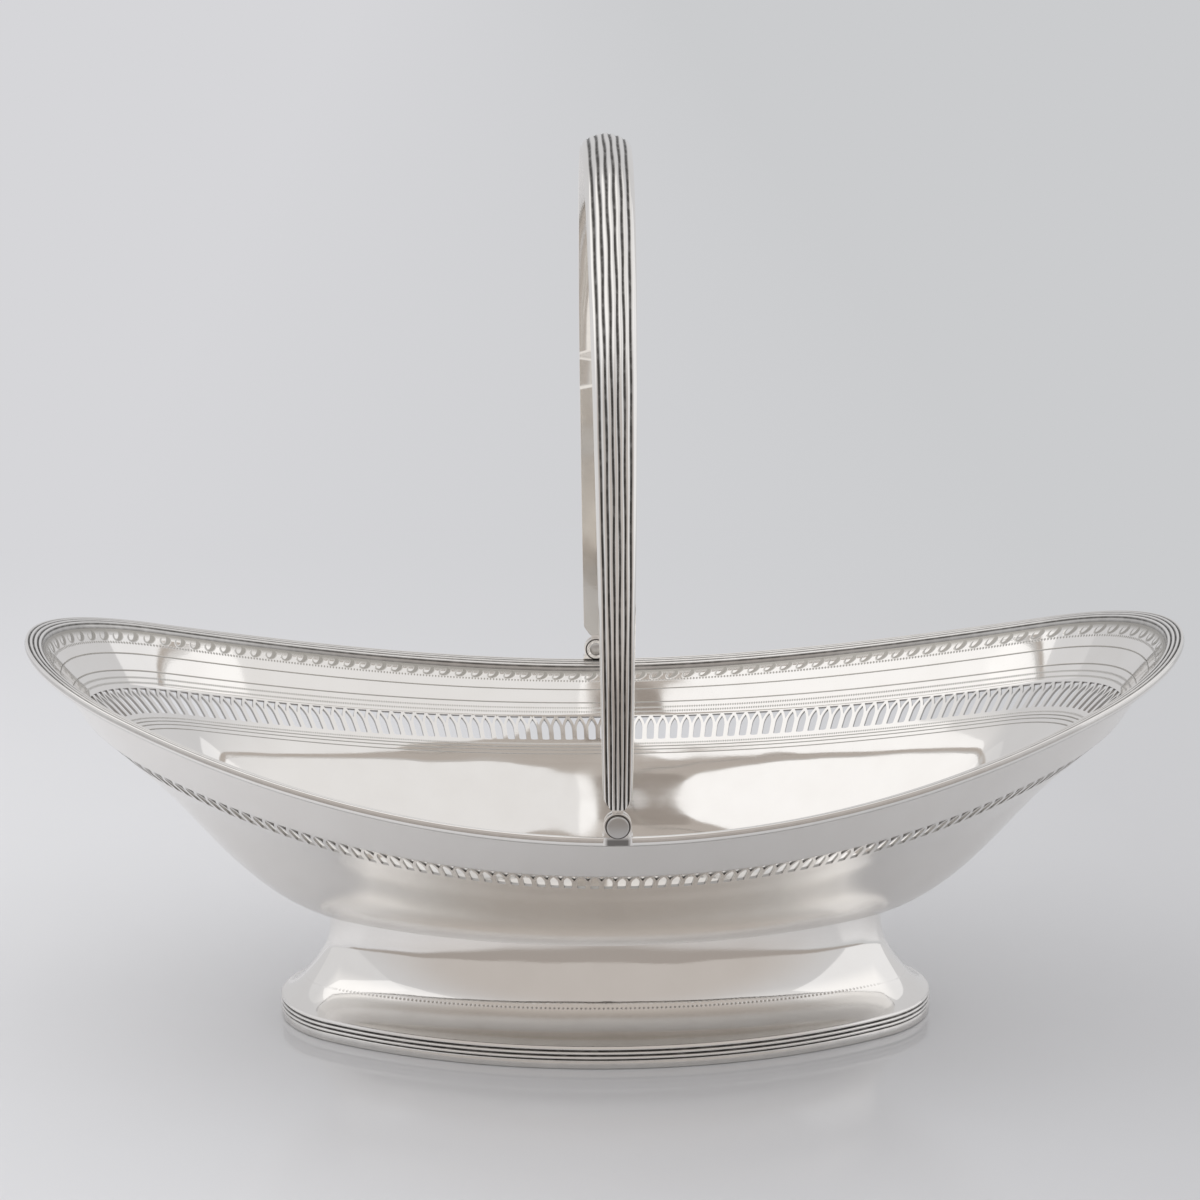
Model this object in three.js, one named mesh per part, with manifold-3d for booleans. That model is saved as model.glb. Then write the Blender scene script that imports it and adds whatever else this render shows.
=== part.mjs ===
// A boat-shaped silver cake basket on an oval foot, with a swing handle and reeded borders.
// Millimetres, +Z up. X runs along the basket, Y across it, and the origin is under the foot's middle.
import * as THREE from 'three';
import { mergeVertices } from 'three/addons/utils/BufferGeometryUtils.js';
import Module from 'manifold-3d';

const wasm = await Module();
wasm.setup();

// Plan shapes: each level is an oval of four arcs, with this much turn in half of a tip arc
const tipArcTurn = 53.5 * Math.PI / 180;
const sideTurn = Math.PI / 2 - tipArcTurn;
const tipArcShare = 0.375;
const stations = 64;

// Rim, over the border, and the powers of the curves by which rim and wall rise to the tips
const rimHalfLength = 185;
const rimHalfWidth = 116;
const rimMidHeight = 90.3;
const rimTipHeight = 127;
const rimSaddlePower = 1.9;
const wallSaddlePower = 2.1;

// Bowl, raised from one sheet: bands from the rim down, each with its width in plan and its fall
const sheetThickness = 0.8;
const edgeInset = 1;
const edgeFall = 1.9;
const lipWidth = 4.6;
const lipFall = 2.1;
const plainWidth = 11.9;
const plainMidFall = 12.8;
const plainTipFall = 19;
const piercedWidth = 10;
const piercedMidFall = 7.3;
const piercedTipFall = 9.5;
const shoulderWidth = 4;
const shoulderMidFall = 3.1;
const shoulderTipFall = 4;
const wellBelly = 0.138;
const wellRows = 6;
const slotPitch = 4.1;
const slotWidth = 2.6;
const slotMargin = 0.8;
const slotHead = 2.6;
const floorInset = 9;
const floorFall = 1.2;

// Foot: a spool of sheet that stands on its own reeded border
const footHeight = 35;
const jointHalfLength = 91.2;
const jointHalfWidth = 44;
const footSheet = 1;
const neckInset = 1;
const neckHeight = 26;
const flangeHalfLength = 105.2;
const flangeHalfWidth = 61;
const flareRows = 6;
// The flare's curve leaves the neck and meets the flange towards these points
const neckSweepShare = 0.08;
const neckSweepHeight = 20;
const flangeSweepShare = 0.65;
const flangeSweepHeight = 9.5;
const footBorderHeight = 7.4;
const footBorderWidth = 2.4;
const footReedDepth = 0.6;
const footReedPitch = 1.47;
const footReedCount = 3;
const footBandSetback = 0.1;

// Rim border: drawn wire with reeds along its top and a plain band outside
const rimReedCount = 4;
const rimReedDepth = 0.5;
const rimDome = 1.5;
const rimInnerEdge = 0.9;
const rimBandHeight = 2.8;
const rimBandThickness = 0.6;

// Hinges, one at the middle of each side
const pivotRise = 3.8;
const seatGap = 0.3;
const pinRadius = 1.3;
const boreClearance = 0.1;
const pinHeadRadius = 3.3;
const pinHeadHeight = 1.1;
const rivetRadius = 2.2;
const rivetHeight = 0.9;
const earRadius = 4.1;
const earThickness = 1.2;
const hingeBaseWidth = 8.8;
const hingeBaseThickness = 0.8;
const hingeApron = 5.7;
const tongueThickness = 1.6;
const tongueClearance = 0.15;
const tongueRadius = 2.4;
const tongueNeckWidth = 3.4;
const tongueLength = 4.8;

// Handle: a domed strap, flat inside and reeded outside
const crownHeight = 285.3;
const strapEndWidth = 8.7;
const strapCrownWidth = 15.7;
const strapTipWidth = 4.2;
const strapChamfer = 3.2;
const strapEdge = 0.9;
const strapDome = 0.2;
const strapReeds = 7;
const strapGroove = 0.5;
const strapSteps = 36;

// Sizes that follow from the ones above
const pivotHeight = rimMidHeight + pivotRise;
const earInnerFace = rimHalfWidth + seatGap;
const tongueOuter = earInnerFace - tongueClearance;
const tongueInner = tongueOuter - tongueThickness;
const innerEarOuter = tongueInner - tongueClearance;
const innerEarInner = innerEarOuter - earThickness;
const outerEarOuter = earInnerFace + earThickness;
const hingeCentre = (tongueOuter + tongueInner) / 2;
const strapFoot = pivotHeight + tongueLength;

// Radii of a four-arc oval's tip arcs and side arcs
function ovalRadii(halfLength, halfWidth) {
  const centres = (halfLength - halfWidth) / (Math.cos(tipArcTurn) - 1 + Math.sin(tipArcTurn));
  const tipRadius = halfLength - centres * Math.cos(tipArcTurn);
  return { tipRadius, sideRadius: tipRadius + centres };
}

// Point of a four-arc oval at fraction turn of the way round, from +X towards +Y
function ovalPoint(halfLength, halfWidth, turn) {
  const quarterTurns = (turn - Math.floor(turn)) * 4;
  const quarter = Math.floor(quarterTurns);
  const along = quarterTurns - quarter;
  const share = quarter % 2 === 0 ? along : 1 - along;
  const { tipRadius, sideRadius } = ovalRadii(halfLength, halfWidth);
  const onTip = share < tipArcShare;
  const angle = onTip
    ? tipArcTurn * share / tipArcShare
    : tipArcTurn + sideTurn * (share - tipArcShare) / (1 - tipArcShare);
  const x = onTip ? halfLength - tipRadius + tipRadius * Math.cos(angle) : sideRadius * Math.cos(angle);
  const y = onTip ? tipRadius * Math.sin(angle) : halfWidth - sideRadius + sideRadius * Math.sin(angle);
  return [quarter === 1 || quarter === 2 ? -x : x, quarter > 1 ? -y : y];
}

// A level line: an oval whose height rises from the middle of the sides to the tips
function levelLine(halfLength, halfWidth, midHeight, tipHeight, power = rimSaddlePower) {
  return (turn) => {
    const [x, y] = ovalPoint(halfLength, halfWidth, turn);
    const rise = Math.abs(x / halfLength) ** power;
    return new THREE.Vector3(x, y, midHeight + (tipHeight - midHeight) * rise);
  };
}

// A level line inside the rim, by its inset in plan and its falls at the middle and the tips
function rimLine(inset, midFall, tipFall = midFall, power = rimSaddlePower) {
  const halfLength = rimHalfLength - inset;
  const halfWidth = rimHalfWidth - inset;
  return levelLine(halfLength, halfWidth, rimMidHeight - midFall, rimTipHeight - tipFall, power);
}

// The well's wall sweeps from the shoulder to the foot joint, with its belly low, as a share of the
// straight way between them
function wellLine(shoulder, joint, share) {
  return (turn) => {
    const top = shoulder(turn);
    const bottom = joint(turn);
    const run = Math.hypot(top.x - bottom.x, top.y - bottom.y);
    const fall = top.z - bottom.z;
    const belly = new THREE.Vector3((top.x - bottom.x) * fall / run, (top.y - bottom.y) * fall / run, -run);
    const high = top.clone().lerp(bottom, 1 / 3);
    const low = top.clone().lerp(bottom, 2 / 3).addScaledVector(belly, wellBelly);
    return new THREE.CubicBezierCurve3(top, high, low, bottom).getPoint(share);
  };
}

function bowlLevels() {
  const lipInset = edgeInset + lipWidth;
  const lipDrop = edgeFall + lipFall;
  const plainInset = lipInset + plainWidth;
  const plainMid = lipDrop + plainMidFall;
  const plainTip = lipDrop + plainTipFall;
  const piercedInset = plainInset + piercedWidth;
  const piercedMid = plainMid + piercedMidFall;
  const piercedTip = plainTip + piercedTipFall;
  const shoulderMid = piercedMid + shoulderMidFall;
  const shoulderTip = piercedTip + shoulderTipFall;
  const shoulder = rimLine(piercedInset + shoulderWidth, shoulderMid, shoulderTip, wallSaddlePower);
  const joint = levelLine(jointHalfLength, jointHalfWidth, footHeight, footHeight);
  const seat = levelLine(jointHalfLength - footSheet, jointHalfWidth - footSheet, footHeight, footHeight);
  const floorHeight = footHeight - floorFall;
  const floorLength = jointHalfLength - floorInset;
  const well = [];
  for (let row = 1; row < wellRows; row += 1) {
    well.push(wellLine(shoulder, joint, row / wellRows));
  }
  return [
    rimLine(edgeInset, edgeFall),
    rimLine(lipInset, lipDrop),
    rimLine(plainInset, plainMid, plainTip, wallSaddlePower),
    rimLine(piercedInset, piercedMid, piercedTip, wallSaddlePower),
    shoulder,
    ...well,
    joint,
    seat,
    levelLine(floorLength, jointHalfWidth - floorInset, floorHeight, floorHeight),
    () => new THREE.Vector3(0, 0, floorHeight),
  ];
}

const bowlLines = bowlLevels();

// Where the bowl's named lines are in that list
const levels = {
  edge: 0,
  lip: 1,
  pierced: 2,
  shoulder: 4,
  joint: bowlLines.length - 4,
  seat: bowlLines.length - 3,
  centre: bowlLines.length - 1,
};

function bowlOuterPoint(turn, level) {
  const above = Math.min(Math.floor(level), levels.centre - 1);
  const top = bowlLines[above](turn);
  return top.lerp(bowlLines[above + 1](turn), level - above);
}

// Direction from the bowl's outer face into its sheet
function bowlInward(turn, level) {
  if (level >= levels.centre) return new THREE.Vector3(0, 0, 1);
  const step = 0.02;
  const turnStep = step / stations;
  const before = bowlOuterPoint(turn - turnStep, level);
  const around = bowlOuterPoint(turn + turnStep, level).sub(before);
  const above = bowlOuterPoint(turn, Math.max(level - step, 0));
  const down = bowlOuterPoint(turn, Math.min(level + step, levels.centre)).sub(above);
  return around.cross(down).normalize();
}

function bowlPoint(turn, level, depth) {
  return bowlOuterPoint(turn, level).addScaledVector(bowlInward(turn, level), depth);
}

// A ring of points, one for each station round the plan
function ring(pointAt) {
  return Array.from({ length: stations }, (_, index) => pointAt(index / stations));
}

// Two triangles between four corners, split along the shorter diagonal, so that pieces that share
// a strip share its triangles too
function quad(triangles, a, b, c, d) {
  if (a.distanceTo(c) <= b.distanceTo(d)) {
    triangles.push([a, b, c], [a, c, d]);
  } else {
    triangles.push([b, c, d], [b, d, a]);
  }
}

function band(triangles, upper, lower) {
  upper.forEach((corner, index) => {
    const next = (index + 1) % upper.length;
    quad(triangles, corner, upper[next], lower[next], lower[index]);
  });
}

// Triangles between two rings with different numbers of points, both in order of their turns
function zip(triangles, upper, upperTurns, lower, lowerTurns) {
  let above = 0;
  let below = 0;
  while (above < upper.length || below < lower.length) {
    const nextAbove = above < upper.length ? upperTurns(above + 1) : Infinity;
    const nextBelow = below < lower.length ? lowerTurns(below + 1) : Infinity;
    const top = upper[above % upper.length];
    const bottom = lower[below % lower.length];
    if (nextAbove <= nextBelow) {
      above += 1;
      triangles.push([top, upper[above % upper.length], bottom]);
    } else {
      below += 1;
      triangles.push([top, lower[below % lower.length], bottom]);
    }
  }
}

function fan(triangles, rim, centre) {
  rim.forEach((corner, index) => {
    triangles.push([corner, rim[(index + 1) % rim.length], centre]);
  });
}

// One closed geometry from loose triangles, with its faces turned out
function solidGeometry(triangles) {
  const volume = triangles.reduce((sum, [a, b, c]) => sum + a.dot(b.clone().cross(c)), 0);
  const turned = volume < 0 ? triangles.map(([a, b, c]) => [a, c, b]) : triangles;
  const geometry = new THREE.BufferGeometry().setFromPoints(turned.flat());
  return mergeVertices(geometry, 1e-4);
}

// A closed tube of rings, such as a border that runs all round
function ringSolid(rings) {
  const triangles = [];
  rings.forEach((upper, index) => band(triangles, upper, rings[(index + 1) % rings.length]));
  return solidGeometry(triangles);
}

// Half way down the pierced band, a quarter of its oval is one tip arc's half and one side arc's half
function bandArcs() {
  const inset = edgeInset + lipWidth + plainWidth + piercedWidth / 2;
  const { tipRadius, sideRadius } = ovalRadii(rimHalfLength - inset, rimHalfWidth - inset);
  const tip = tipRadius * tipArcTurn;
  const side = sideRadius * sideTurn;
  return { tip, quarter: tip + side };
}

// As many slots as fit at their pitch, the same number in each quarter
const slotCount = 4 * Math.round(bandArcs().quarter / slotPitch);

// Turn at which a number of slots has gone by, evenly spaced along the band
function slotTurn(slots) {
  const { tip, quarter } = bandArcs();
  const quarterTurns = slots / slotCount * 4;
  const started = Math.floor(quarterTurns);
  const along = quarterTurns - started;
  const way = started % 2 === 0 ? along : 1 - along;
  const tipPart = tip / quarter;
  const share = way < tipPart
    ? tipArcShare * way / tipPart
    : tipArcShare + (1 - tipArcShare) * (way - tipPart) / (1 - tipPart);
  return (started + (started % 2 === 0 ? share : 1 - share)) / 4;
}

// A slot with a pointed head, in slots across and shares of the pierced band down
function slotOutline() {
  const half = slotWidth / slotPitch / 2;
  const height = Math.hypot(piercedWidth, piercedMidFall);
  const top = slotMargin / height;
  const head = (slotMargin + slotHead) / height;
  const foot = 1 - slotMargin / height;
  return [[-half, head], [0, top], [half, head], [half, foot], [-half, foot]]
    .map(([across, down]) => new THREE.Vector2(across, down));
}

// The pierced band: one cell for each slot, on both faces of the sheet, and the slots' walls
function pierceBand(triangles) {
  const slot = slotOutline();
  const cell = [[-0.5, 0], [0.5, 0], [0.5, 1], [-0.5, 1]].map(([across, down]) => {
    return new THREE.Vector2(across, down);
  });
  const corners = [...cell, ...slot];
  const faces = THREE.ShapeUtils.triangulateShape(cell, [slot]);
  for (let count = 0; count < slotCount; count += 1) {
    const place = (depth) => corners.map((corner) => {
      return bowlPoint(slotTurn(count + 0.5 + corner.x), levels.pierced + corner.y, depth);
    });
    const outer = place(0);
    const inner = place(sheetThickness);
    faces.forEach(([a, b, c]) => {
      triangles.push([outer[a], outer[b], outer[c]]);
      triangles.push([inner[c], inner[b], inner[a]]);
    });
    slot.forEach((_, index) => {
      const here = cell.length + index;
      const next = cell.length + (index + 1) % slot.length;
      quad(triangles, outer[here], outer[next], inner[next], inner[here]);
    });
  }
}

function bowlGeometry() {
  const triangles = [];
  const stationTurn = (index) => index / stations;
  const faceRings = (depth) => {
    const rows = bowlLines.slice(0, levels.centre);
    return rows.map((_, level) => ring((turn) => bowlPoint(turn, level, depth)));
  };
  const slotRing = (level, depth) => {
    return Array.from({ length: slotCount }, (_, index) => bowlPoint(slotTurn(index), level, depth));
  };
  const outer = faceRings(0);
  const inner = faceRings(sheetThickness);
  for (let level = levels.edge; level < levels.centre - 1; level += 1) {
    if (level >= levels.lip && level < levels.shoulder) continue;
    band(triangles, outer[level], outer[level + 1]);
    band(triangles, inner[level + 1], inner[level]);
  }
  band(triangles, inner[levels.edge], outer[levels.edge]);
  const slotTop = slotRing(levels.pierced, 0);
  const slotTopInside = slotRing(levels.pierced, sheetThickness);
  const slotFoot = slotRing(levels.pierced + 1, 0);
  const slotFootInside = slotRing(levels.pierced + 1, sheetThickness);
  zip(triangles, outer[levels.lip], stationTurn, slotTop, slotTurn);
  zip(triangles, slotTopInside, slotTurn, inner[levels.lip], stationTurn);
  pierceBand(triangles);
  zip(triangles, slotFoot, slotTurn, outer[levels.shoulder], stationTurn);
  zip(triangles, inner[levels.shoulder], stationTurn, slotFootInside, slotTurn);
  fan(triangles, outer[levels.centre - 1], bowlPoint(0, levels.centre, 0));
  fan(triangles, inner[levels.centre - 1].toReversed(), bowlPoint(0, levels.centre, sheetThickness));
  return solidGeometry(triangles);
}

// The rim wire's section, as insets and falls from the rim's outermost top line. It starts at the
// foot of the outside band, goes up and in over the reeds, and ends at the lip's inner edge.
function rimWireSection() {
  const width = edgeInset + lipWidth;
  const reedWidth = width / rimReedCount;
  const dome = (inset) => rimDome * (inset / width) ** 2;
  const section = [
    [edgeInset, rimBandHeight],
    [edgeInset - rimBandThickness, rimBandHeight],
    [0, rimBandHeight * 0.6],
    [0, rimReedDepth],
  ];
  for (let reed = 0; reed < rimReedCount; reed += 1) {
    const crest = reedWidth * (reed + 0.5);
    const groove = reedWidth * (reed + 1);
    const depth = reed < rimReedCount - 1 ? rimReedDepth : rimInnerEdge;
    section.push([crest, dome(crest)]);
    section.push([groove, dome(groove) + depth]);
  }
  return section;
}

// The rim wire grips the sheet's edge: it is soldered to the lip's upper face and over the edge
function rimBorderGeometry() {
  const free = rimWireSection().map(([inset, fall]) => ring(rimLine(inset, fall)));
  const lipRing = ring((turn) => bowlPoint(turn, levels.lip, sheetThickness));
  const edgeTop = ring((turn) => bowlPoint(turn, levels.edge, sheetThickness));
  const edgeUnder = ring((turn) => bowlPoint(turn, levels.edge, 0));
  return ringSolid([...free, lipRing, edgeTop, edgeUnder]);
}

// A level line of the foot: share 0 is the neck's plan and share 1 the flange's
function footLine(share, height, outset = 0) {
  const neckLength = jointHalfLength - neckInset;
  const neckWidth = jointHalfWidth - neckInset;
  const halfLength = neckLength + (flangeHalfLength - neckLength) * share + outset;
  const halfWidth = neckWidth + (flangeHalfWidth - neckWidth) * share + outset;
  return levelLine(halfLength, halfWidth, height, height);
}

// The foot's outside profile from the neck to the flange, as shares of the flare and heights
function footProfile() {
  const flare = new THREE.CubicBezierCurve(
    new THREE.Vector2(0, neckHeight),
    new THREE.Vector2(neckSweepShare, neckSweepHeight),
    new THREE.Vector2(flangeSweepShare, flangeSweepHeight),
    new THREE.Vector2(1, footBorderHeight),
  );
  return flare.getPoints(flareRows);
}

function footGeometry() {
  const profile = footProfile();
  const flareWidth = flangeHalfLength - jointHalfLength + neckInset;
  const outer = profile.map((point) => ring(footLine(point.x, point.y)));
  const inner = profile.map((point, row) => {
    const before = profile[Math.max(row - 1, 0)];
    const after = profile[Math.min(row + 1, profile.length - 1)];
    const out = (after.x - before.x) * flareWidth;
    const down = before.y - after.y;
    const slant = Math.hypot(out, down);
    const height = row === flareRows ? point.y : point.y - footSheet * out / slant;
    return ring(footLine(point.x, height, -footSheet * down / slant));
  });
  const jointRing = ring((turn) => bowlPoint(turn, levels.joint, 0));
  const seatRing = ring((turn) => bowlPoint(turn, levels.seat, 0));
  return ringSolid([jointRing, ...outer, ...inner.toReversed(), seatRing]);
}

// The foot's border: reeds above a plain band, under the flange, flat where it stands
function footBorderGeometry() {
  const section = [[footReedDepth / 2, footBorderHeight]];
  for (let reed = 0; reed < footReedCount; reed += 1) {
    const top = footBorderHeight - reed * footReedPitch;
    section.push([footReedDepth, top - footReedPitch * 0.35]);
    section.push([footReedDepth, top - footReedPitch * 0.7]);
    section.push([0, top - footReedPitch]);
  }
  const bandTop = footBorderHeight - footReedCount * footReedPitch;
  section.push([footReedDepth - footBandSetback, bandTop - footBandSetback]);
  section.push([0, 0]);
  section.push([-footBorderWidth, 0]);
  section.push([-footBorderWidth, footBorderHeight]);
  return ringSolid(section.map(([outset, height]) => ring(footLine(1, height, outset))));
}

// Geometry and solid, for the boolean joins
function toSolid(geometry) {
  const bare = geometry.clone();
  bare.deleteAttribute('normal');
  bare.deleteAttribute('uv');
  const merged = mergeVertices(bare, 1e-5);
  const vertProperties = new Float32Array(merged.attributes.position.array);
  const triVerts = new Uint32Array(merged.index.array);
  return new wasm.Manifold(new wasm.Mesh({ numProp: 3, vertProperties, triVerts }));
}

function toGeometry(solid) {
  const mesh = solid.getMesh();
  const geometry = new THREE.BufferGeometry();
  geometry.setAttribute('position', new THREE.BufferAttribute(new Float32Array(mesh.vertProperties), 3));
  geometry.setIndex(new THREE.BufferAttribute(new Uint32Array(mesh.triVerts), 1));
  return geometry;
}

// A plate cut to an outline in X and Z, between two distances from the basket's middle, near side
function plate(outline, innerFace, outerFace) {
  const geometry = new THREE.ExtrudeGeometry(outline, {
    depth: outerFace - innerFace,
    bevelEnabled: false,
    curveSegments: 10,
  });
  geometry.rotateX(Math.PI / 2);
  geometry.translate(0, -innerFace, pivotHeight);
  return geometry;
}

function boreHole(radius) {
  return new THREE.Path().absarc(0, 0, radius, 0, Math.PI * 2, true);
}

// An ear's outline about the pin: round above, splayed to a straight foot below
function earOutline(footDrop) {
  const side = Math.PI / 9;
  const outline = new THREE.Shape();
  outline.moveTo(-hingeBaseWidth / 2, -footDrop);
  outline.lineTo(hingeBaseWidth / 2, -footDrop);
  outline.absarc(0, 0, earRadius, -side, Math.PI + side, false);
  outline.closePath();
  outline.holes.push(boreHole(pinRadius + boreClearance));
  return outline;
}

// The hinge bracket: two ears on a saddle over the rim wire, the outer one hanging in front of it
function bracketGeometry() {
  const saddleDrop = pivotRise - seatGap;
  const outerEar = plate(earOutline(hingeApron), earInnerFace, outerEarOuter);
  const innerEar = plate(earOutline(saddleDrop), innerEarInner, innerEarOuter);
  const depth = outerEarOuter - innerEarInner;
  const saddle = new THREE.BoxGeometry(hingeBaseWidth, depth, hingeBaseThickness);
  const saddleHeight = pivotHeight - saddleDrop + hingeBaseThickness / 2;
  saddle.translate(0, -(innerEarInner + depth / 2), saddleHeight);
  return toGeometry(toSolid(outerEar).add(toSolid(innerEar)).add(toSolid(saddle)));
}

// The pin: a low domed head outside, a plain shank, and a riveted end inside
function pinGeometry() {
  const inside = innerEarInner - boreClearance;
  const outside = outerEarOuter + boreClearance;
  const profile = [
    [0, inside - rivetHeight],
    [rivetRadius * 0.6, inside - rivetHeight * 0.8],
    [rivetRadius, inside - rivetHeight * 0.2],
    [rivetRadius, inside],
    [pinRadius, inside],
    [pinRadius, outside],
    [pinHeadRadius, outside],
    [pinHeadRadius, outside + pinHeadHeight * 0.55],
    [pinHeadRadius * 0.85, outside + pinHeadHeight * 0.85],
    [pinHeadRadius * 0.45, outside + pinHeadHeight],
    [0, outside + pinHeadHeight],
  ];
  const points = profile.map(([radius, along]) => new THREE.Vector2(radius, along));
  const geometry = new THREE.LatheGeometry(points, 20);
  geometry.rotateZ(Math.PI);
  geometry.translate(0, 0, pivotHeight);
  return geometry;
}

// The tongue: a drilled disc between the ears, with a neck up to the strap's end
function tongueGeometry() {
  const half = tongueNeckWidth / 2;
  const join = Math.asin(half / tongueRadius);
  const outline = new THREE.Shape();
  outline.moveTo(half, tongueLength);
  outline.lineTo(-half, tongueLength);
  outline.absarc(0, 0, tongueRadius, Math.PI / 2 + join, Math.PI * 2.5 - join, false);
  outline.closePath();
  outline.holes.push(boreHole(pinRadius + boreClearance));
  return plate(outline, tongueInner, tongueOuter);
}

// The strap's half width at a height above its foot: a chamfered end, then a steady taper
function strapHalfWidth(height) {
  const climb = crownHeight - strapFoot;
  const taper = strapEndWidth + (strapCrownWidth - strapEndWidth) * height / climb;
  const chamfer = strapTipWidth + (strapEndWidth - strapTipWidth) * height / strapChamfer;
  return Math.min(taper, chamfer) / 2;
}

// The strap's section, as shares of its half width and heights over its flat inner face
function strapSection(halfWidth) {
  const section = [[halfWidth, 0], [-halfWidth, 0]];
  const reedWidth = 2 * halfWidth / strapReeds;
  const dome = (across) => strapEdge + 2 * halfWidth * strapDome * (1 - (across / halfWidth) ** 2);
  section.push([-halfWidth, strapEdge]);
  for (let reed = 0; reed < strapReeds; reed += 1) {
    const left = -halfWidth + reed * reedWidth;
    section.push([left + reedWidth * 0.5, dome(left + reedWidth * 0.5)]);
    const groove = left + reedWidth;
    const depth = reed < strapReeds - 1 ? strapGroove : 0;
    section.push([groove, dome(groove) - depth]);
  }
  return section;
}

// The handle: the strap's inner face follows a half ellipse that stands on the two tongues
function handleGeometry() {
  const footThickness = strapEdge + strapTipWidth * strapDome;
  const halfSpan = hingeCentre - footThickness / 2;
  const climb = crownHeight - strapEdge - strapCrownWidth * strapDome - strapFoot;
  const chamferTurn = Math.asin(strapChamfer / climb);
  const turns = [0, chamferTurn];
  for (let step = 1; step < strapSteps; step += 1) {
    turns.push(chamferTurn + (Math.PI - 2 * chamferTurn) * step / strapSteps);
  }
  turns.push(Math.PI - chamferTurn, Math.PI);
  const sections = turns.map((turn) => {
    const inside = new THREE.Vector3(0, -halfSpan * Math.cos(turn), climb * Math.sin(turn));
    const out = new THREE.Vector3(0, -climb * Math.cos(turn), halfSpan * Math.sin(turn)).normalize();
    const section = strapSection(strapHalfWidth(inside.z));
    inside.z += strapFoot;
    return section.map(([across, height]) => {
      return inside.clone().addScaledVector(out, height).setX(across);
    });
  });
  const triangles = [];
  for (let step = 1; step < sections.length; step += 1) {
    band(triangles, sections[step - 1], sections[step]);
  }
  const flat = strapSection(strapTipWidth / 2).map(([across, height]) => new THREE.Vector2(across, height));
  THREE.ShapeUtils.triangulateShape(flat, []).forEach(([a, b, c]) => {
    const start = sections[0];
    const end = sections[sections.length - 1];
    triangles.push([start[a], start[b], start[c]]);
    triangles.push([end[c], end[b], end[a]]);
  });
  return solidGeometry(triangles);
}

function silver(color, roughness) {
  return new THREE.MeshStandardMaterial({ color, roughness, metalness: 1 });
}

function piece(name, geometry, material) {
  const mesh = new THREE.Mesh(geometry, material);
  mesh.name = name;
  return mesh;
}

// A hinge's two fixed pieces on one side; the far side is the near side turned half round
function hinge(side, facing) {
  const group = new THREE.Group();
  group.add(piece(`hinge_bracket_${side}`, bracketGeometry(), silver(0xc9c5be, 0.25)));
  group.add(piece(`pivot_pin_${side}`, pinGeometry(), silver(0xd6d2cb, 0.2)));
  group.rotation.z = facing;
  return group;
}

function swingHandle() {
  const group = new THREE.Group();
  group.add(piece('handle_bow', handleGeometry(), silver(0xd2cec7, 0.2)));
  const nearTongue = piece('handle_tongue_near', tongueGeometry(), silver(0xc4c0b9, 0.28));
  const farTongue = piece('handle_tongue_far', tongueGeometry(), silver(0xc4c0b9, 0.28));
  farTongue.rotation.z = Math.PI;
  group.add(nearTongue, farTongue);
  return group;
}

const basket = new THREE.Group();
basket.add(piece('bowl', bowlGeometry(), silver(0xdad7d1, 0.12)));
basket.add(piece('rim_border', rimBorderGeometry(), silver(0xcfcbc4, 0.18)));
basket.add(piece('foot', footGeometry(), silver(0xd8d5cf, 0.12)));
basket.add(piece('foot_border', footBorderGeometry(), silver(0xcdc9c2, 0.18)));
basket.add(hinge('near', 0));
basket.add(hinge('far', Math.PI));
basket.add(swingHandle());

export default basket;
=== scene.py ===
import math

import bpy
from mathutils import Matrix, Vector


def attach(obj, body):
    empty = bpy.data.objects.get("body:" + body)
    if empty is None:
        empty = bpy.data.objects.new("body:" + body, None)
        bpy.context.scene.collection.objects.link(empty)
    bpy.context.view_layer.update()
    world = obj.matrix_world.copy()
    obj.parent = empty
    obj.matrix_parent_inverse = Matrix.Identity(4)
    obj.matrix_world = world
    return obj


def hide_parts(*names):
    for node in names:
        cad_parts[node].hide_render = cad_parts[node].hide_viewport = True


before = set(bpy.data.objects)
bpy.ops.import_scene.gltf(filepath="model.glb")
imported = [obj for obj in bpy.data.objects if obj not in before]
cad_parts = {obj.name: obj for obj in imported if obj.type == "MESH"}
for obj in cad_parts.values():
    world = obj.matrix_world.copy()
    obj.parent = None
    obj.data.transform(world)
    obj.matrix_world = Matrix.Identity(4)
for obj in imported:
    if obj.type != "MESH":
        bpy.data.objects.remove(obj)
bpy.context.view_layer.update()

# Bowl
# The bowl is one sheet of silver, raised from the flat and polished: its inside is still a mirror. Its band
# of pointed slots is cut with a piercing saw, and the lines and leaves inside are cut with a bright graver.
# Sizes are in millimetres, and mm turns them into Blender's metres
mm = 0.001
rim_half_length = 185
rim_half_width = 116
rim_mid_height = 90.3
rim_tip_height = 127
rim_power = 1.9
wall_power = 2.1
tip_arc_turn = math.radians(53.5)
tip_arc_share = 0.375
sheet_thickness = 0.8
slot_count = 200
band_half_length = 162.5
band_half_width = 93.5
joint_half_length = 91.2
joint_half_width = 44
foot_height = 35
floor_inset = 9
floor_fall = 1.2
well_belly = 0.138
well_steps = 16
bowl_crease = math.radians(32)

# Each line of the bowl: inset from the rim's oval, fall at the middle, fall at the tips
bowl_edge = (1, 1.9, 1.9)
bowl_lip = (5.6, 4, 4)
slots_top = (17.5, 16.8, 23)
slots_foot = (27.5, 24.1, 32.5)
bowl_shoulder = (31.5, 27.2, 36.5)


def arc_radii(half_length, half_width):
    """The radii of the tip and side arcs of a four-arc oval."""
    reach = (half_length - half_width) / (math.cos(tip_arc_turn) + math.sin(tip_arc_turn) - 1)
    tip_radius = half_length - reach * math.cos(tip_arc_turn)
    return tip_radius, tip_radius + reach


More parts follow.
